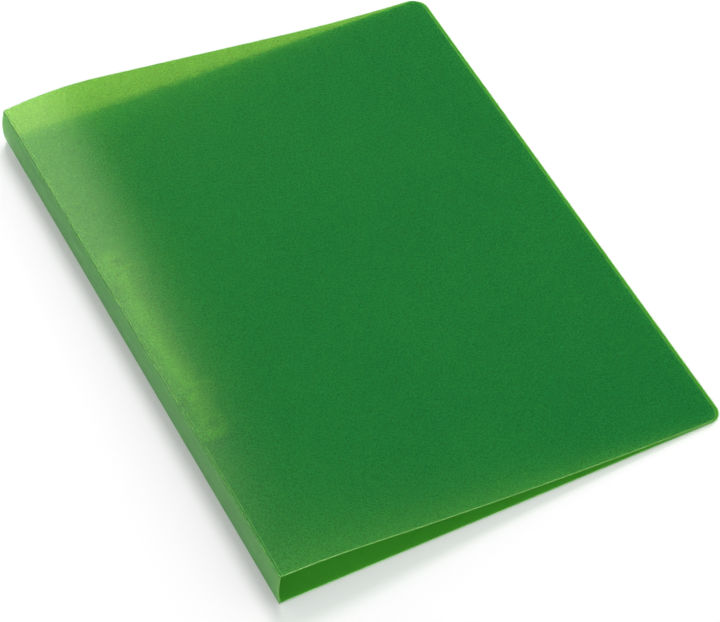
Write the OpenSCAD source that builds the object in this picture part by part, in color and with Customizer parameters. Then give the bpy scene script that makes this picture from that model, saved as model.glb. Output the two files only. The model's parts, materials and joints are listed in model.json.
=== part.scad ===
// Two-ring binder for A4 pages, lying closed on its back cover.
// One sheet of see-through plastic makes both covers and the spine, and folds at two creases.
// A small ring mechanism is riveted to the inside of the back cover, beside the spine.
// +X runs from the spine to the fore edge, +Y along the spine, +Z up. The origin is the
// middle of the back cover's underside.

/* [Covers] */
// Length of the covers along the spine
cover_l = 315; // [300:1:330]
// Width of the back cover, with its crease
back_w = 252; // [240:1:265]
// How far the back cover shows past the front cover at the fore edge
lip = 2.2; // [0.5:0.1:4]
// Thickness of the plastic sheet
sheet_t = 0.8; // [0.7:0.1:0.9]
// Radius of the free corners at the fore edge
corner_r = 7; // [3:0.5:15]

/* [Spine] */
// Height of the closed binder at the spine, outside
spine_h = 25; // [25:0.5:30]
// How far the top of the spine leans out over its foot
spine_lean = 1; // [0:0.1:2]
// How far the spine bows outward between its creases
spine_bow = 1.2; // [0.4:0.1:2]
// Radius of the bead that stands for the thin web in each crease
bead_r = 0.5; // [0.5:0.01:0.55]

/* [Front cover curl] */
// Slope at which the front cover leaves the crease at the near end
near_rise = 0; // [0:0.01:0.1]
// Slope at which the front cover leaves the crease at the far end
far_rise = 0.18; // [0:0.01:0.25]
// Distance over which the near end bends down
near_bend = 45; // [30:1:60]
// Distance over which the far end bends down
far_bend = 55; // [30:1:80]
// Distance from the crease at which the near end begins to level out
near_ease = 60; // [60:1:150]
// Distance from the crease at which the far end begins to level out
far_ease = 160; // [80:1:200]
// Slope of the front cover at its fore edge
edge_slope = 0.04; // [0:0.01:0.06]
// Gap between the two covers at the fore edge
edge_gap = 0.3; // [0.2:0.1:2]

/* [Rings] */
// Distance between the two rings
ring_pitch = 80; // [70:1:90]
// Inside diameter of a closed ring
ring_d = 15; // [14.8:0.1:15.2]
// Diameter of the ring wire
wire_d = 2.7; // [2.6:0.1:2.8]
// Distance of the rings' middle from the foot of the spine
ring_inset = 16; // [15.5:0.1:20]
// Angle through which each half ring opens
open_angle = 24; // [15:1:24]
// Angle at which a hinge plate slopes down when the rings are closed
closed_angle = 5; // [3:0.5:5]

/* [Mechanism] */
// Length of the top plate
plate_l = 126; // [122:1:140]
// Height of the top plate's crown above the back cover
crown_h = 5.2; // [5.2:0.1:5.6]
// Thickness of the top plate's steel
arch_t = 0.7; // [0.6:0.05:0.7]
// Distance of each hinge plate's pivot from the middle
pivot_x = 7; // [7:0.1:7.2]
// Thickness of the hinge plates
leaf_t = 0.8; // [0.7:0.05:0.8]
// Distance between the two rivets
rivet_pitch = 110; // [106:1:112]

/* [Hidden] */
$fn = 96;

fit = 0.05;
eps = 0.01;
near_y = -cover_l / 2;

// Crease axes: the back one lies at the foot of the spine, the front one at its top.
foot_x = -back_w / 2 + bead_r;
foot_z = bead_r;
top_x = foot_x - spine_lean;
top_z = spine_h - bead_r;
groove_r = bead_r + fit;

// Spine: an arc through both crease axes.
spine_dx = top_x - foot_x;
spine_dz = top_z - foot_z;
spine_chord = sqrt(spine_dx * spine_dx + spine_dz * spine_dz);
spine_r = (spine_chord * spine_chord / 4 + spine_bow * spine_bow) / (2 * spine_bow);
spine_tilt = atan2(spine_dz, spine_dx);

// Front cover: its outer side falls from the spine's height to just over the back cover.
front_w = back_w / 2 - lip - top_x;
front_drop = spine_h - 2 * sheet_t - edge_gap;
front_cols = 26;
front_rows = 9;

// Ring mechanism, in the plane across the spine, measured from the middle of the rings.
mech_x = -back_w / 2 + ring_inset;
wire_r = wire_d / 2;
ring_r = ring_d / 2 + wire_r;
knuckle_r = 0.45;
socket_r = knuckle_r + fit;
roll_r = socket_r + arch_t;
pivot_z = sheet_t + roll_r;
ring_lift = 0.5; // height of the ring circle's lowest point over the pivots
ring_z = pivot_z + ring_lift + ring_r;
crown_z = sheet_t + crown_h;
roll_stand = 0.25;
near_roll = roll_r - roll_stand;
arch_z = (pow(crown_z - near_roll, 2) - pow(pivot_x, 2) - pow(pivot_z, 2))
       / (2 * (crown_z - near_roll - pivot_z));
arch_r = crown_z - arch_z;
relief_t = leaf_t + 0.16;

// Hinge plates
leaf_l = plate_l - 6;
leaf_w = pivot_x - 0.2;
tab_l = 10;
tab_reach = 1;
tab_gap = 0.5;
tab_pitch = 32;
tab_first = -24;

// Foot of a half ring, first across the rings and then in its hinge plate's own directions
foot_angle = -64;
foot_dx = ring_r * cos(foot_angle) - pivot_x;
foot_dz = ring_z + ring_r * sin(foot_angle) - pivot_z;
foot_u = foot_dx * cos(closed_angle) + foot_dz * sin(closed_angle);
foot_w = foot_dz * cos(closed_angle) - foot_dx * sin(closed_angle);
stud_r = 1;
stud_head_r = 1.5;
stud_head_t = 0.3;
tip_gap = 0.05;
nib_r = 0.75;
nib_h = 0.8;
nib_play = 0.15;

// Openings of the top plate for the rings
slot_in = 3;
slot_out = 7.7;
slot_w = wire_d + 0.6;
slot_floor = pivot_z + 0.62;

// Rivets and the cups that take them
cup_r = 3.6;
cup_wall = 0.7;
cup_play = 0.4;
shank_r = 1.5;
head_r = 3.5;
head_t = 0.35;
rim_r = 2.4;
rim_t = 0.6;
rivet_bore_r = 0.9;
rivet_bore_h = 1.2;

// ---- shared shapes ----

// Extrudes a section drawn across the spine, x and height, along the spine.
module along_spine(length) {
    rotate([90, 0, 0]) linear_extrude(height = length, center = true) children();
}

// A true rod along the spine.
module rod(radius, length) {
    rotate([90, 0, 0]) cylinder(r = radius, h = length, center = true);
}

// Panel outline from x0 to x1, square at x0 and with round corners at x1.
module panel_outline(x0, x1, radius) {
    half = cover_l / 2;
    translate([x0, -half]) square([x1 - radius - x0, cover_l]);
    translate([x0, -half + radius]) square([x1 - x0, cover_l - 2 * radius]);
    for (side = [-1, 1]) {
        translate([x1 - radius, side * (half - radius)]) circle(radius);
    }
}

// Rectangle with round corners about the origin.
module round_rectangle(width, length, radius) {
    square([width - 2 * radius, length], center = true);
    square([width, length - 2 * radius], center = true);
    for (sx = [-1, 1], sy = [-1, 1]) {
        translate([sx * (width / 2 - radius), sy * (length / 2 - radius)]) circle(radius);
    }
}

// ---- cover sheet ----

module back_cover() color([0.10, 0.55, 0.18]) difference() {
    linear_extrude(height = sheet_t) panel_outline(foot_x, back_w / 2, corner_r);
    translate([foot_x, 0, foot_z]) rod(groove_r, cover_l + 2);
    for (side = [-1, 1]) {
        translate([mech_x, side * rivet_pitch / 2, -eps]) {
            cylinder(r = head_r + fit, h = head_t + eps);
            cylinder(r = shank_r + fit, h = sheet_t + 1);
        }
    }
}

// The spine's section is a slice of a ring whose ends stop at the two beads.
module spine_section() {
    bow_x = (foot_x + top_x) / 2 + (spine_r - spine_bow) * sin(spine_tilt);
    bow_z = (foot_z + top_z) / 2 - (spine_r - spine_bow) * cos(spine_tilt);
    difference() {
        translate([bow_x, bow_z]) circle(r = spine_r + sheet_t / 2, $fn = 360);
        translate([bow_x, bow_z]) circle(r = spine_r - sheet_t / 2, $fn = 360);
        translate([foot_x - 5, foot_z - 200]) square([200, 200]);
        translate([top_x - 5, top_z]) square([200, 200]);
        translate([foot_x + 5, foot_z - 200]) square([200, 400]);
        translate([foot_x, foot_z]) circle(bead_r);
        translate([top_x, top_z]) circle(bead_r);
    }
}

module spine_panel() color([0.25, 0.60, 0.28]) along_spine(cover_l) spine_section();

module back_crease() color([0.12, 0.45, 0.15]) translate([foot_x, 0, foot_z]) rod(bead_r, cover_l);

module front_crease() color([0.35, 0.75, 0.30]) translate([top_x, 0, top_z]) rod(bead_r, cover_l);

function mix(near, far, t) = near + (far - near) * t;

// Steepest slope of the front cover, so that it ends at its height over the fore edge.
function steepest(rise, bend, ease) =
    (front_drop + rise * bend / 2 - edge_slope * (front_w - ease) / 2)
    / (bend / 2 + (ease - bend) + (front_w - ease) / 2);

// Height of the outer side over the front crease, at a distance u from it: the sheet first
// bends down, then runs straight, then levels out towards the fore edge.
function curl(u, rise, bend, ease, fall) =
    u < bend
        ? rise * u - (rise + fall) * u * u / (2 * bend)
        : (rise - fall) * bend / 2 - fall * (u - bend)
          + (u < ease ? 0 : (fall - edge_slope) * pow(u - ease, 2) / (2 * (front_w - ease)));

function front_height(u, t) =
    let (
        rise = mix(near_rise, far_rise, t),
        bend = mix(near_bend, far_bend, t),
        ease = mix(near_ease, far_ease, t)
    )
    spine_h + curl(u, rise, bend, ease, steepest(rise, bend, ease));

// The curled sheet as a loft of its sections from the near end to the far end.
module curled_sheet() {
    per_side = (front_cols + 1) * (front_rows + 1);
    points = [
        for (under = [0, 1], row = [0 : front_rows], col = [0 : front_cols])
            let (u = front_w * col / front_cols, t = row / front_rows)
            [top_x + u, near_y + cover_l * t, front_height(u, t) - under * sheet_t]
    ];
    function at(under, row, col) = under * per_side + row * (front_cols + 1) + col;
    faces = [
        for (row = [0 : front_rows - 1], col = [0 : front_cols - 1]) each [
            [at(0, row, col), at(0, row + 1, col), at(0, row + 1, col + 1)],
            [at(0, row, col), at(0, row + 1, col + 1), at(0, row, col + 1)],
            [at(1, row, col), at(1, row + 1, col + 1), at(1, row + 1, col)],
            [at(1, row, col), at(1, row, col + 1), at(1, row + 1, col + 1)]
        ],
        for (col = [0 : front_cols - 1]) each [
            [at(0, 0, col), at(0, 0, col + 1), at(1, 0, col + 1)],
            [at(0, 0, col), at(1, 0, col + 1), at(1, 0, col)],
            [at(0, front_rows, col), at(1, front_rows, col + 1), at(0, front_rows, col + 1)],
            [at(0, front_rows, col), at(1, front_rows, col), at(1, front_rows, col + 1)]
        ],
        for (row = [0 : front_rows - 1]) each [
            [at(0, row, 0), at(1, row + 1, 0), at(0, row + 1, 0)],
            [at(0, row, 0), at(1, row, 0), at(1, row + 1, 0)],
            [at(0, row, front_cols), at(0, row + 1, front_cols), at(1, row + 1, front_cols)],
            [at(0, row, front_cols), at(1, row + 1, front_cols), at(1, row, front_cols)]
        ]
    ];
    polyhedron(points = points, faces = faces);
}

module front_cover() color([0.05, 0.50, 0.20]) difference() {
    intersection() {
        curled_sheet();
        translate([0, 0, -1]) linear_extrude(height = spine_h + 20)
            panel_outline(top_x - 1, top_x + front_w, corner_r);
    }
    translate([top_x, 0, top_z]) rod(groove_r, cover_l + 2);
}

// ---- ring mechanism ----

// The top plate across the spine: an arch of steel with both edges rolled in, each roll
// open towards the middle so that a hinge plate can swing in it.
module arch_section() {
    difference() {
        union() {
            intersection() {
                difference() {
                    translate([0, arch_z]) circle(arch_r);
                    translate([0, arch_z]) circle(arch_r - arch_t);
                }
                translate([-pivot_x - 3, pivot_z + 0.5]) square([2 * pivot_x + 6, 20]);
            }
            for (side = [-1, 1]) translate([side * pivot_x, pivot_z]) circle(roll_r);
        }
        for (side = [-1, 1]) {
            translate([side * pivot_x, pivot_z]) {
                circle(socket_r);
                for (angle = [closed_angle, (closed_angle * 2 - open_angle) / 2, closed_angle - open_angle]) {
                    rotate(side * angle) translate([side > 0 ? -2 : 0, -relief_t / 2]) square([2, relief_t]);
                }
            }
        }
    }
}

module top_plate() color([0.78, 0.79, 0.80]) translate([mech_x, 0, 0]) difference() {
    union() {
        intersection() {
            along_spine(plate_l) arch_section();
            linear_extrude(height = 20) round_rectangle(2 * (pivot_x + roll_r) + 1, plate_l, 5);
        }
        intersection() {
            for (side = [-1, 1]) {
                translate([0, side * rivet_pitch / 2, sheet_t]) cylinder(r = cup_r, h = crown_h);
            }
            along_spine(plate_l) translate([0, arch_z]) circle(arch_r - arch_t / 2);
        }
    }
    for (side = [-1, 1]) {
        translate([0, side * rivet_pitch / 2, 0]) {
            translate([0, 0, sheet_t + cup_wall]) cylinder(r = cup_r - cup_wall, h = 20);
            cylinder(r = shank_r + fit, h = 20);
        }
        for (end = [-1, 1]) {
            translate([side * (slot_in + slot_out) / 2, end * ring_pitch / 2, slot_floor])
                linear_extrude(height = 20) round_rectangle(slot_out - slot_in, slot_w, 0.6);
        }
    }
}

// Right-hand hinge plate lying level, its pivot on the origin and its free edge at -X.
module level_leaf() {
    tabs = [tab_first, tab_first + tab_pitch];
    difference() {
        union() {
            rod(knuckle_r, leaf_l);
            translate([-leaf_w, -leaf_l / 2, -leaf_t / 2]) cube([leaf_w, leaf_l, leaf_t]);
            for (y = tabs) {
                translate([-leaf_w - tab_reach, y - tab_l / 2, -leaf_t / 2]) cube([2, tab_l, leaf_t]);
            }
        }
        for (y = tabs) {
            translate([-leaf_w - 1, -y - tab_l / 2 - tab_gap, -1]) {
                cube([1 + tab_reach + tab_gap, tab_l + 2 * tab_gap, 2]);
            }
        }
        for (end = [-1, 1]) {
            translate([foot_u, end * ring_pitch / 2, -1]) cylinder(r = stud_r + fit, h = 2);
            translate([-pivot_x, end * rivet_pitch / 2, -1]) cylinder(r = cup_r + cup_play, h = 2);
        }
    }
}

// Places a right-hand hinge plate, or what stands on it, at its closed slope.
module on_pivot() {
    translate([pivot_x, 0, pivot_z]) rotate([0, -closed_angle, 0]) children();
}

module hinge_plate_right() color([0.66, 0.67, 0.69]) translate([mech_x, 0, 0]) on_pivot() level_leaf();

module hinge_plate_left() color([0.66, 0.67, 0.69])
    translate([mech_x, 0, 0]) rotate([0, 0, 180]) on_pivot() level_leaf();

// Right half of a ring about y = 0: bent wire, a rounded foot, and a stud headed over
// under the hinge plate.
module half_ring_wire() {
    tip_angle = 90 - asin(tip_gap / ring_r);
    translate([0, 0, ring_z]) rotate([90, 0, 0]) rotate([0, 0, foot_angle])
        rotate_extrude(angle = tip_angle - foot_angle) translate([ring_r, 0]) circle(wire_r);
    on_pivot() translate([foot_u, 0, 0]) {
        translate([0, 0, foot_w]) sphere(r = wire_r + 0.02);
        translate([0, 0, leaf_t / 2]) cylinder(r = wire_r - 0.1, h = foot_w - leaf_t / 2);
        translate([0, 0, -leaf_t / 2]) cylinder(r = stud_r, h = leaf_t + eps);
        translate([0, 0, -leaf_t / 2 - stud_head_t]) cylinder(r = stud_head_r, h = stud_head_t);
    }
}

module tip_cone(radius, height) {
    translate([0, 0, ring_z + ring_r]) rotate([0, 90, 0]) cylinder(r1 = radius, r2 = radius * 0.6, h = height);
}

// The right half's tip has a socket, the left half's tip a nib that enters it.
module right_half_ring(end) color([0.82, 0.83, 0.84])
    translate([mech_x, end * ring_pitch / 2, 0]) difference() {
        half_ring_wire();
        tip_cone(nib_r + nib_play, nib_h + nib_play);
    }

module left_half_ring(end) color([0.82, 0.83, 0.84])
    translate([mech_x, end * ring_pitch / 2, 0]) {
        mirror([1, 0, 0]) half_ring_wire();
        translate([-2 * tip_gap, 0, 0]) tip_cone(nib_r, nib_h);
    }

module half_ring_left_near() left_half_ring(-1);

module half_ring_left_far() left_half_ring(1);

module half_ring_right_near() right_half_ring(-1);

module half_ring_right_far() right_half_ring(1);

// Rivet: a flat head let into the cover's underside, a shank through sheet and cup, and a
// rim rolled over in the cup.
module rivet(end) color([0.70, 0.71, 0.73])
    translate([mech_x, end * rivet_pitch / 2, 0]) difference() {
        union() {
            cylinder(r = head_r, h = head_t);
            cylinder(r = shank_r, h = sheet_t + cup_wall + rim_t);
            translate([0, 0, sheet_t + cup_wall]) rotate_extrude() {
                square([rim_r - rim_t / 2, rim_t]);
                translate([rim_r - rim_t / 2, rim_t / 2]) circle(rim_t / 2);
            }
        }
        translate([0, 0, sheet_t + cup_wall + rim_t - rivet_bore_h]) cylinder(r = rivet_bore_r, h = 5);
    }

module rivet_near() rivet(-1);

module rivet_far() rivet(1);

back_cover();
spine_panel();
front_cover();
back_crease();
front_crease();
top_plate();
hinge_plate_left();
hinge_plate_right();
half_ring_left_near();
half_ring_left_far();
half_ring_right_near();
half_ring_right_far();
rivet_near();
rivet_far();
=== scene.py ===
import json
import math
import bmesh
import bpy
from mathutils import Matrix, Vector


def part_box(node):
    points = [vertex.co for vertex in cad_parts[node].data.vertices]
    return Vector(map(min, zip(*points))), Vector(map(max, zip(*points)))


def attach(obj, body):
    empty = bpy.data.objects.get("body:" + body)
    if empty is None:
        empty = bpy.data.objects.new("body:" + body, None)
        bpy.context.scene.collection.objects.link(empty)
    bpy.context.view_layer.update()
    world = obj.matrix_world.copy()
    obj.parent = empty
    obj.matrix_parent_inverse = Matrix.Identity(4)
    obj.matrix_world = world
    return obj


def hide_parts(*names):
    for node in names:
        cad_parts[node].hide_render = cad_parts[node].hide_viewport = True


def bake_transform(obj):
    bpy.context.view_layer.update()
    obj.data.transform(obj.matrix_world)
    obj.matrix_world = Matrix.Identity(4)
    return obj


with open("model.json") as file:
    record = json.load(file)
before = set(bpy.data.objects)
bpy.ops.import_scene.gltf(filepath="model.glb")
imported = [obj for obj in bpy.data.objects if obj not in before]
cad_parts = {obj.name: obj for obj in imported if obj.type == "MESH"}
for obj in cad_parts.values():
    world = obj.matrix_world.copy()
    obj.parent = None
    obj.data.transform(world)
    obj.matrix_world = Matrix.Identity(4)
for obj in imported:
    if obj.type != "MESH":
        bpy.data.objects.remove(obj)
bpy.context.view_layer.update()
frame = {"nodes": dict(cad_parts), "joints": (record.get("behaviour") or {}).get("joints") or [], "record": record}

# ---- back cover ----
# A die-cut panel of dyed, see-through polypropylene sheet that lies flat on the table.
# The ring mechanism is riveted to it, and at the fore edge it shows past the front cover.

hinge_at = {joint["name"]: Vector(joint["pos_m"]) for joint in frame["joints"]}
foot = hinge_at["back_hinge"]
back_low, back_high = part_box("back_cover")
sheet_t = back_high.z - back_low.z
half_length = back_high.y
corner_r = 0.007
cut_r = 0.00014  # rounding that the die leaves on the cut edge
crease_half = 0.0009  # half the width of a pressed crease
rows_each_way = 30
corner_steps = 12


def mix(near, far, share):
    """A value on the way from near to far."""
    return near + (far - near) * share


def rows_along_spine(corner, inset):
    """Each row's place along the spine, with how far the outline draws back there."""
    straight = half_length - max(corner, inset)
    rows = [
        (straight * step / rows_each_way, inset)
        for step in range(-rows_each_way, rows_each_way + 1)
    ]
    if not corner:
        return rows
    radius = corner - inset
    turns = [math.radians(90 * step / corner_steps) for step in range(corner_steps)]
    round_end = [
        (straight + radius * math.cos(turn), corner - radius * math.sin(turn)) for turn in turns
    ]
    return [(-y, back) for y, back in round_end] + rows + round_end[::-1]


def cut_panel(name, skin, start, stop, columns, thick, corner=0.0, edge=cut_r):
    """A closed shell of the sheet with the rounded edge that a cutting die leaves.

    skin(x, y, depth) places a point at a depth under the panel's outer side. The flat sides
    get the first finish of the panel, and the cut edge gets the second one.
    """
    shoulder = edge * (1 - math.sqrt(0.5))
    rings = [
        (3 * edge, 0), (edge, 0), (shoulder, shoulder), (0, edge),
        (0, thick - edge), (shoulder, thick - shoulder), (edge, thick), (3 * edge, thick),
    ]
    points, faces, marks, loops = [], [], [], []
    for step, (inset, depth) in enumerate(rings):
        rows = rows_along_spine(corner, inset)
        first = len(points)
        last = len(rows) - 1

        def at(row, column):
            y, back = rows[row]
            return skin(mix(start + inset, stop - back, column / columns), y, depth)

        rim = (
            [(0, column) for column in range(columns)]
            + [(row, columns) for row in range(last)]
            + [(last, column) for column in range(columns, 0, -1)]
            + [(row, 0) for row in range(last, 0, -1)]
        )
        if step in (0, len(rings) - 1):
            width = columns + 1
            points += [at(row, column) for row in range(last + 1) for column in range(width)]
            for row in range(last):
                for column in range(columns):
                    here = first + row * width + column
                    faces.append((here, here + 1, here + 1 + width, here + width))
                    marks.append(0)
            loops.append([first + row * width + column for row, column in rim])
        else:
            points += [at(row, column) for row, column in rim]
            loops.append(list(range(first, len(points))))
    for upper, lower in zip(loops, loops[1:]):
        for here in range(len(upper)):
            after = (here + 1) % len(upper)
            faces.append((upper[here], upper[after], lower[after], lower[here]))
            marks.append(1)
    mesh = bpy.data.meshes.new(name)
    mesh.from_pydata(points, [], faces)
    mesh.polygons.foreach_set("material_index", marks)
    mesh.polygons.foreach_set("use_smooth", [True] * len(faces))
    shell = bmesh.new()
    shell.from_mesh(mesh)
    bmesh.ops.recalc_face_normals(shell, faces=shell.faces)
    shell.to_mesh(mesh)
    shell.free()
    piece = bpy.data.objects.new(name, mesh)
    bpy.context.scene.collection.objects.link(piece)
    return piece


class Shade:
    """A socket of one material's nodes. Sums written with it add Math nodes."""

    def __init__(self, tree, socket=None):
        self.tree, self.socket = tree, socket

    def node(self, kind, settings=None, inputs=None, output=0):
        """Adds a node, sets it up, fills its inputs and returns one of its outputs."""
        made = self.tree.nodes.new("ShaderNode" + kind)
        for name, value in (settings or {}).items():
            if name == "stops":
                ramp = made.color_ramp.elements
                while len(ramp) < len(value):
                    ramp.new(1.0)
                for stop, (position, colour) in zip(ramp, value):
                    stop.position, stop.color = position, colour
            else:
                setattr(made, name, value)
        for name, value in (inputs or {}).items():
            if isinstance(value, Shade):
                self.tree.links.new(value.socket, made.inputs[name])
            else:
                made.inputs[name].default_value = value
        return Shade(self.tree, made.outputs[output])

    def sum(self, operation, first, second):
        return self.node("Math", {"operation": operation}, {0: first, 1: second})

    def __add__(self, other):
        return self.sum("ADD", self, other)

    def __sub__(self, other):
        return self.sum("SUBTRACT", self, other)

    def __rsub__(self, other):
        return self.sum("SUBTRACT", other, self)

    def __mul__(self, other):
        return self.sum("MULTIPLY", self, other)

    __radd__ = __add__
    __rmul__ = __mul__

    def between(self, low, high):
        """0 up to low, 1 from high on, and a smooth step between them."""
        return self.node(
            "MapRange", {"interpolation_type": "SMOOTHSTEP"}, {0: self, 1: low, 2: high}
        )

    def blend(self, first, second):
        """Two colours mixed by this value."""
        return self.node(
            "Mix", {"data_type": "RGBA"}, {"Factor": self, 6: first, 7: second}, output=2
        )


def new_finish(name):
    """An empty material, as the start of its nodes, and its output's surface socket."""
    material = bpy.data.materials.new(name)
    material.use_nodes = True
    tree = material.node_tree
    tree.nodes.clear()
    out = tree.nodes.new("ShaderNodeOutputMaterial")
    return material, Shade(tree), out.inputs["Surface"]


grain_scale = 1100.0
cloud_scale = 14.0
grain_share = 0.7  # of the change in colour, where the clouds make up the rest
roughness_swing = 0.08
haze_least, haze_swing = 0.24, 0.14  # share of haze in the plastic
haze_below_share = 0.72  # share of the haze that is lit from below
haze_below = (0.38, 0.69, 0.12, 1)


def dyed_plastic(name, deep, pale, haze, gloss, lamp_tint, roughness, grain_depth):
    """Satin see-through plastic with a haze in it, lit from above and from below.

    What a lamp or the room sends through it takes the lamp_tint, as through tinted glass.
    """
    material, nodes, surface = new_finish(name)
    place = nodes.node("TexCoord", output="Object")
    grain = nodes.node("TexNoise", None, {"Vector": place, "Scale": grain_scale, "Detail": 2.0})
    cloud = nodes.node("TexNoise", None, {"Vector": place, "Scale": cloud_scale, "Detail": 2.0})
    relief = nodes.node(
        "Bump", None, {"Height": grain, "Strength": 0.5, "Distance": grain_depth}
    )
    clouds = cloud.between(0.3, 0.7) * (1 - grain_share)
    strength_of_dye = clouds + grain.between(0.38, 0.62) * grain_share
    clear = nodes.node("BsdfPrincipled", None, {
        "Base Color": strength_of_dye.blend(deep, pale),
        "Roughness": grain * roughness_swing + (roughness - roughness_swing / 2),
        "Transmission Weight": 1.0,
        "IOR": 1.49,
        "Specular Tint": gloss,
        "Normal": relief,
    })
    from_above = nodes.node("BsdfDiffuse", None, {"Color": haze, "Normal": relief})
    from_below = nodes.node("BsdfTranslucent", None, {"Color": haze_below})
    milk = nodes.node("MixShader", None, {0: haze_below_share, 1: from_above, 2: from_below})
    hazy = grain.between(0.3, 0.7) * haze_swing + haze_least
    body = nodes.node("MixShader", None, {0: hazy, 1: clear, 2: milk})
    lit_through = nodes.node("BsdfTransparent", None, {"Color": lamp_tint})
    to_lamp = nodes.node("LightPath", output="Is Shadow Ray")
    bounce = nodes.node("LightPath", output="Is Diffuse Ray")
    for_lamps = nodes.node("MixShader", None, {0: to_lamp, 1: body, 2: lit_through})
    for_room = nodes.node("MixShader", None, {0: bounce, 1: for_lamps, 2: lit_through})
    nodes.tree.links.new(for_room.socket, surface)
    return material


sheet_haze = (0.0, 0.92, 0.32, 1)
sheet_gloss = (0.80, 1.0, 0.52, 1)
sheet_grain = 0.00005
sheet_finish = dyed_plastic(
    "green_sheet",
    deep=(0.24, 0.47, 0.020, 1), pale=(0.38, 0.68, 0.050, 1),
    haze=sheet_haze, gloss=sheet_gloss, lamp_tint=(0.62, 0.68, 0.63, 1),
    roughness=0.22, grain_depth=sheet_grain,
)
# The back cover's copy of the sheet is darker, less red and less glossy than the front's: the green is the
# plastic's own, the extra depth is painted shade standing in for the tinted light under the front cover.
back_sheet_painted_shade = dyed_plastic(
    "green_back_sheet_painted_shade",
    deep=(0.12, 0.48, 0.030, 1), pale=(0.19, 0.65, 0.055, 1),
    haze=(0.032, 0.42, 0.102, 1), gloss=(0.10, 0.12, 0.08, 1), lamp_tint=(0.435, 0.675, 0.45, 1),
    roughness=0.32, grain_depth=sheet_grain,
)
spine_finish = dyed_plastic(
    "green_spine_sheet",
    deep=(0.10, 0.41, 0.020, 1), pale=(0.22, 0.63, 0.050, 1),
    haze=sheet_haze, gloss=sheet_gloss, lamp_tint=(0.42, 0.46, 0.42, 1),
    roughness=0.36, grain_depth=sheet_grain,
)
edge_finish = dyed_plastic(
    "green_cut_edge",
    deep=(0.40, 0.78, 0.24, 1), pale=(0.46, 0.82, 0.28, 1),
    haze=(0.1, 0.5, 0.2, 1), gloss=sheet_gloss, lamp_tint=(0.62, 0.86, 0.55, 1),
    roughness=0.30, grain_depth=0.00006,
)


def dress_sheet(piece, body, *nodes, face=sheet_finish):
    """Gives a sheet panel its finishes and ties it to its body and CAD nodes."""
    for finish in (face, edge_finish):
        piece.data.materials.append(finish)
    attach(piece, body)
    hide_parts(*nodes)


def back_skin(x, y, depth):
    """A point of the back cover at a depth over its underside."""
    return Vector((x, y, back_low.z + depth))


back = cut_panel(
    "back_cover_sheet", back_skin, foot.x + crease_half, back_high.x,
    columns=64, thick=sheet_t, corner=corner_r,
)
dress_sheet(back, "back", "back_cover", face=back_sheet_painted_shade)

# ---- spine panel ----
# The same sheet between two pressed creases. It stands on edge, leans out a little at
# the top and bows outward, more at the far end, where the front cover's curl pulls on it.

top = hinge_at["front_hinge"]
bow_near = 0.0008
bow_far = 0.0015
spine_length = (top - foot).length
upright = (top - foot) / spine_length
outward = Vector((-upright.z, 0, upright.x))


def along(y):
    """How far along the spine a place lies, 0 at the near end and 1 at the far end."""
    return (y + half_length) / (2 * half_length)


def spine_skin(height, y, depth):
    """A point of the spine at a height over the back crease's axis."""
    share = height / spine_length
    bow = mix(bow_near, bow_far, along(y))
    slope = 4 * bow * (1 - 2 * share) / spine_length
    facing = (outward - upright * slope).normalized()
    middle = foot + upright * height + outward * (4 * bow * share * (1 - share))
    return middle + facing * (sheet_t / 2 - depth) + Vector((0, y, 0))


spine = cut_panel(
    "spine_sheet", spine_skin, crease_half, spine_length - crease_half,
    columns=16, thick=sheet_t,
)
dress_sheet(spine, "spine", "spine_panel", face=spine_finish)

# ---- front cover ----
# The same sheet again. It comes level off the spine, curls down to the fore edge and
# rises in a low arch at the far end, so that the two covers stand open there.

rise_far = 0.18
bend_near, bend_far = 0.045, 0.055
ease_near, ease_far = 0.060, 0.160
slope_at_edge = 0.04
edge_gap = 0.0003
front_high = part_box("front_cover")[1]
front_width = front_high.x - top.x
spine_top = top.z + (foot.z - back_low.z)
front_drop = spine_top - 2 * sheet_t - edge_gap


def front_height(x, y):
    """Height of the front cover's outer side: a bend, a straight fall, then a levelling out."""
    share = along(y)
    rise = rise_far * share
    bend = mix(bend_near, bend_far, share)
    ease = mix(ease_near, ease_far, share)
    level = front_width - ease
    fall_length = bend / 2 + ease - bend + level / 2
    fall = (front_drop + rise * bend / 2 - slope_at_edge * level / 2) / fall_length
    out = x - top.x
    if out < bend:
        return spine_top + rise * out - (rise + fall) * out * out / (2 * bend)
    height = spine_top + (rise - fall) * bend / 2 - fall * (out - bend)
    if out > ease:
        height += (fall - slope_at_edge) * (out - ease) ** 2 / (2 * level)
    return height


def front_skin(x, y, depth):
    """A point of the front cover at a depth under its outer side."""
    reach = 0.0005
    slope_x = (front_height(x + reach, y) - front_height(x - reach, y)) / (2 * reach)
    slope_y = (front_height(x, y + reach) - front_height(x, y - reach)) / (2 * reach)
    inward = Vector((slope_x, slope_y, -1)).normalized()
    return Vector((x, y, front_height(x, y))) + inward * depth


front = cut_panel(
    "front_cover_sheet", front_skin, top.x + crease_half, front_high.x,
    columns=72, thick=sheet_t, corner=corner_r,
)
dress_sheet(front, "front", "front_cover")

# ---- creases ----
# Where the sheet folds it is pressed down to a thin web, a little below the faces on
# both sides. In the sheet the web is the hinge; here each one runs from a cover round its
# crease to the spine, built in its resting shape and tied to no body.

web_t = 0.0003
web_sink = 0.0001
web_cut_r = 0.00005
web_overlap = 0.0003  # how far the web runs in between the panels' own edges
web_reach = crease_half + web_overlap
bend_length = 0.0008
bead_r = foot.z - back_low.z


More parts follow.
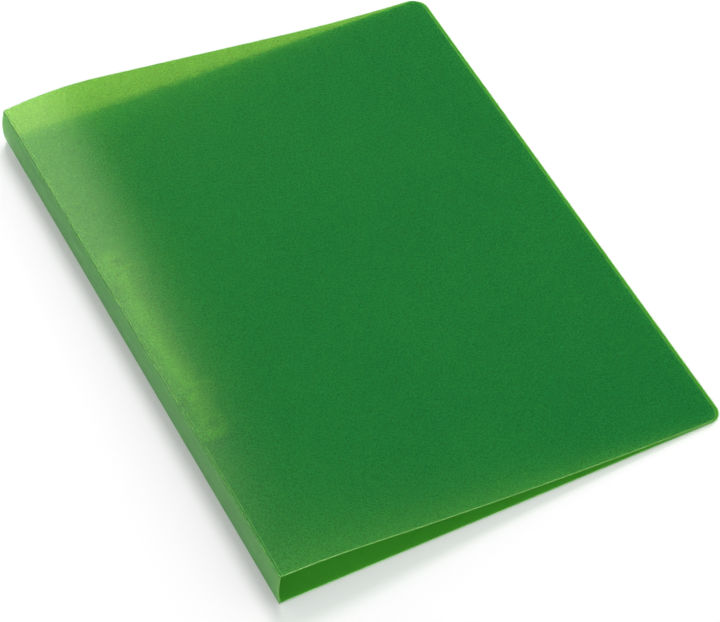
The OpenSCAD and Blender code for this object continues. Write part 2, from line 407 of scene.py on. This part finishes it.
def web(name, axis, cover_skin, spine_side):
    """The thin strip from a cover, round a crease's axis, to the spine."""

    def skin(place, y, depth):
        sunk = depth + web_sink
        if place <= web_reach:
            return cover_skin(axis.x + web_reach - place, y, sunk)
        if place >= web_reach + bend_length:
            return spine_side(place - web_reach - bend_length, y, sunk)
        turn = (place - web_reach) / bend_length
        centre = Vector((axis.x, y, axis.z))
        from_cover = cover_skin(axis.x, y, 0.0) - centre
        from_spine = spine_side(0.0, y, 0.0) - centre
        radius = mix(from_cover.length, from_spine.length, turn) - sunk
        return centre + from_cover.normalized().slerp(from_spine.normalized(), turn) * radius

    return cut_panel(
        name, skin, 0.0, 2 * web_reach + bend_length,
        columns=48, thick=web_t, edge=web_cut_r,
    )


back_web = web("back_crease_web", foot, back_skin, spine_skin)
front_web = web(
    "front_crease_web", top, front_skin,
    lambda down, y, depth: spine_skin(spine_length - down, y, depth),
)
for piece, cover, axis, sign, node in (
    (back_web, "back", foot, 1, "back_crease"),
    (front_web, "front", top, -1, "front_crease"),
):
    for finish in (sheet_finish, edge_finish):
        piece.data.materials.append(finish)
    # A height beside the hinge's axis is worked out here, and nothing uses it.
    quarter = bead_r * 0.6
    axis.z + sign * quarter
    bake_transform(piece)
    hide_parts(node)

# ---- ring mechanism ----
# A rolled-edge top plate of nickel-plated steel holds two hinge plates, and a half ring
# of bright wire is staked into each end of each one. Two rivets hold it to the cover.


line_scale = 900.0
line_depth = 0.00004
line_roughness = 0.12
bloom_scale = 120.0


def plated_steel(name, dark, bright, mirror, roughness, stretch, wear):
    """Nickel plate over rolled steel, with drawing lines along one direction."""
    material, nodes, surface = new_finish(name)
    place = nodes.node("TexCoord", output="Object")
    drawn = nodes.node("Mapping", None, {"Vector": place, "Scale": stretch})
    lines = nodes.node("TexNoise", None, {"Vector": drawn, "Scale": line_scale, "Detail": 3.0})
    bloom = nodes.node("TexNoise", None, {"Vector": place, "Scale": bloom_scale, "Detail": 4.0})
    relief = nodes.node("Bump", None, {"Height": lines, "Strength": 0.25, "Distance": line_depth})
    steel = nodes.node("BsdfPrincipled", None, {
        "Base Color": bloom.between(0.35, 0.65).blend(dark, bright),
        "Metallic": mirror,
        "Roughness": lines * line_roughness + bloom * wear + roughness,
        "Normal": relief,
    })
    nodes.tree.links.new(steel.socket, surface)
    return material


rolled, round_bar = (1.0, 0.04, 1.0), (1.0, 1.0, 1.0)
plate_finish = plated_steel(
    "nickel_plate", dark=(0.60, 0.59, 0.57, 1), bright=(0.72, 0.71, 0.69, 1),
    mirror=0.8, roughness=0.38, stretch=rolled, wear=0.10,
)
wire_finish = plated_steel(
    "bright_nickel_wire", dark=(0.84, 0.82, 0.78, 1), bright=(0.92, 0.90, 0.86, 1),
    mirror=0.5, roughness=0.05, stretch=round_bar, wear=0.08,
)
rivet_finish = plated_steel(
    "rivet_steel", dark=(0.55, 0.55, 0.53, 1), bright=(0.68, 0.67, 0.65, 1),
    mirror=0.8, roughness=0.26, stretch=round_bar, wear=0.16,
)
finish_of = {"mechanism_steel": plate_finish, "ring_wire": wire_finish, "rivet_metal": rivet_finish}
for subpart in frame["record"]["subparts"]:
    if subpart["material_slot"] in finish_of:
        node = frame["nodes"][subpart["node"]]
        node.data.materials.clear()
        node.data.materials.append(finish_of[subpart["material_slot"]])

# The rivets' heads are pressed into the back cover from below, so the cover's panel has a
# round seat for each head and a hole for its shank.

head_r, head_t = 0.00355, 0.00035
shank_r = 0.00155
past = 0.001  # how far the cutter stands out of the sheet on both sides
seat_steps = 48
same_point = 1e-7
for name in ("rivet_near", "rivet_far"):
    low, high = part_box(name)
    middle = (low + high) / 2
    floor_z, roof_z = back_low.z - past, back_high.z + past
    profile = [
        (0, floor_z), (head_r, floor_z), (head_r, head_t),
        (shank_r, head_t), (shank_r, roof_z), (0, roof_z),
    ]
    seat = bmesh.new()
    steps = [seat.verts.new((radius, 0, height)) for radius, height in profile]
    for lower, upper in zip(steps, steps[1:]):
        seat.edges.new((lower, upper))
    bmesh.ops.spin(
        seat, geom=seat.verts[:] + seat.edges[:], axis=(0, 0, 1), cent=(0, 0, 0),
        steps=seat_steps, angle=2 * math.pi, use_merge=True,
    )
    bmesh.ops.remove_doubles(seat, verts=seat.verts, dist=same_point)
    bmesh.ops.recalc_face_normals(seat, faces=seat.faces)
    bmesh.ops.translate(seat, verts=seat.verts, vec=(middle.x, middle.y, 0))
    mesh = bpy.data.meshes.new(name + "_seat")
    seat.to_mesh(mesh)
    seat.free()
    cutter = bpy.data.objects.new(name + "_seat", mesh)
    bpy.context.scene.collection.objects.link(cutter)
    cut = back.modifiers.new("seat", "BOOLEAN")
    cut.operation, cut.object, cut.solver = "DIFFERENCE", cutter, "EXACT"
    with bpy.context.temp_override(object=back, active_object=back):
        bpy.ops.object.modifier_apply(modifier=cut.name)
    bpy.data.objects.remove(cutter)

# ---- table, lamps and camera ----
# A white table in a white studio tent. The key lamp stands high on the far side and throws
# the soft shadow, a large panel lower on that side makes the covers shine and glow, and a
# weak lamp on the near side fills in.


def seen_directly(nodes):
    """1 for what the camera sees, also by reflection or through the plastic."""
    direct = nodes.node("LightPath", output="Is Camera Ray")
    mirrored = nodes.node("LightPath", output="Is Glossy Ray")
    through = nodes.node("LightPath", output="Is Transmission Ray")
    return nodes.sum("MAXIMUM", nodes.sum("MAXIMUM", direct, mirrored), through)


def white_table():
    """White paper that shows its shadows and is otherwise as white as the backdrop."""
    material, nodes, surface = new_finish("white_table")
    place = nodes.node("TexCoord", output="Object")
    fibre = nodes.node("TexNoise", None, {"Vector": place, "Scale": 300.0, "Detail": 3.0})
    paper = nodes.node("BsdfDiffuse", None, {
        "Color": fibre.blend((0.84, 0.84, 0.84, 1), (0.86, 0.86, 0.86, 1)),
    })
    shaded = nodes.node("BsdfDiffuse", None, {"Color": (0.98, 0.98, 0.98, 1)})
    glow = nodes.node("Emission", None, {"Color": (1, 1, 1, 1), "Strength": 0.05})
    shown = nodes.node("AddShader", None, {0: shaded, 1: glow})
    both = nodes.node("MixShader", None, {0: seen_directly(nodes), 1: paper, 2: shown})
    nodes.tree.links.new(both.socket, surface)
    return material


floor_mesh = bpy.data.meshes.new("table")
reach = 6.0
table_gap = 0.0003
table_corners = [(-reach, -reach, 0), (reach, -reach, 0), (reach, reach, 0), (-reach, reach, 0)]
floor_mesh.from_pydata(table_corners, [], [(0, 1, 2, 3)])
floor_mesh.materials.append(white_table())
table = bpy.data.objects.new("table", floor_mesh)
table.location.z = -table_gap
bpy.context.scene.collection.objects.link(table)

world = bpy.data.worlds.new("studio")
bpy.context.scene.world = world
world.use_nodes = True
room = Shade(world.node_tree)
height = room.node("SeparateXYZ", None, {0: room.node("TexCoord", output="Generated")}, output="Z")
mirrored = room.node("LightPath", output="Is Glossy Ray")
dark_overhead = 0.97  # dims the tent's roof in reflections alone, so the covers keep their colour
tent = room.node("Background", None, {
    "Color": (1, 1, 1, 1), "Strength": 1 - height.between(0.1, 0.5) * mirrored * dark_overhead,
})
tent_light = 0.6
lit = room.node("Background", None, {"Color": (1, 1, 1, 1), "Strength": tent_light})
shown = room.node("MixShader", None, {0: seen_directly(room), 1: lit, 2: tent})
world.node_tree.links.new(shown.socket, world.node_tree.nodes["World Output"].inputs["Surface"])

lamp_distance = 2.2


def softbox(name, toward, side, power):
    """A square lamp that stands in a direction from the binder and faces it."""
    light = bpy.data.lights.new(name, "AREA")
    light.shape = "SQUARE"
    light.size, light.energy = side, power
    lamp = bpy.data.objects.new(name, light)
    lamp.location = Vector(toward).normalized() * lamp_distance
    lamp.rotation_euler = Vector(toward).to_track_quat("Z", "Y").to_euler()
    bpy.context.scene.collection.objects.link(lamp)
    return lamp


# The key lamp lights only what is matt, and the see-through plastic alone sees the panel.
key = softbox("key", (0.13, 0.48, 0.87), side=0.62, power=22)
key.visible_glossy = key.visible_transmission = False
sheen = softbox("sheen", (-0.24, 0.70, 0.68), side=1.9, power=90)
sheen.visible_glossy = sheen.visible_diffuse = False
softbox("fill", (-0.50, -0.60, 0.62), side=0.6, power=3)

azimuth, elevation, roll = -34.097, 52.626, 7.364
target = Vector((-0.00879, -0.02076, 0.0))
distance = 1.430306
lens_data = bpy.data.cameras.new("camera")
lens_data.lens, lens_data.sensor_width, lens_data.clip_start = 140.0, 36.0, 0.05
camera = bpy.data.objects.new("camera", lens_data)
turn = (
    Matrix.Rotation(math.radians(azimuth), 4, "Z")
    @ Matrix.Rotation(math.radians(90 - elevation), 4, "X")
    @ Matrix.Rotation(math.radians(roll), 4, "Z")
)
camera.matrix_world = Matrix.Translation(target) @ turn @ Matrix.Translation((0, 0, distance))
bpy.context.scene.collection.objects.link(camera)
bpy.context.scene.camera = camera
bpy.context.scene.view_settings.view_transform = "Standard"
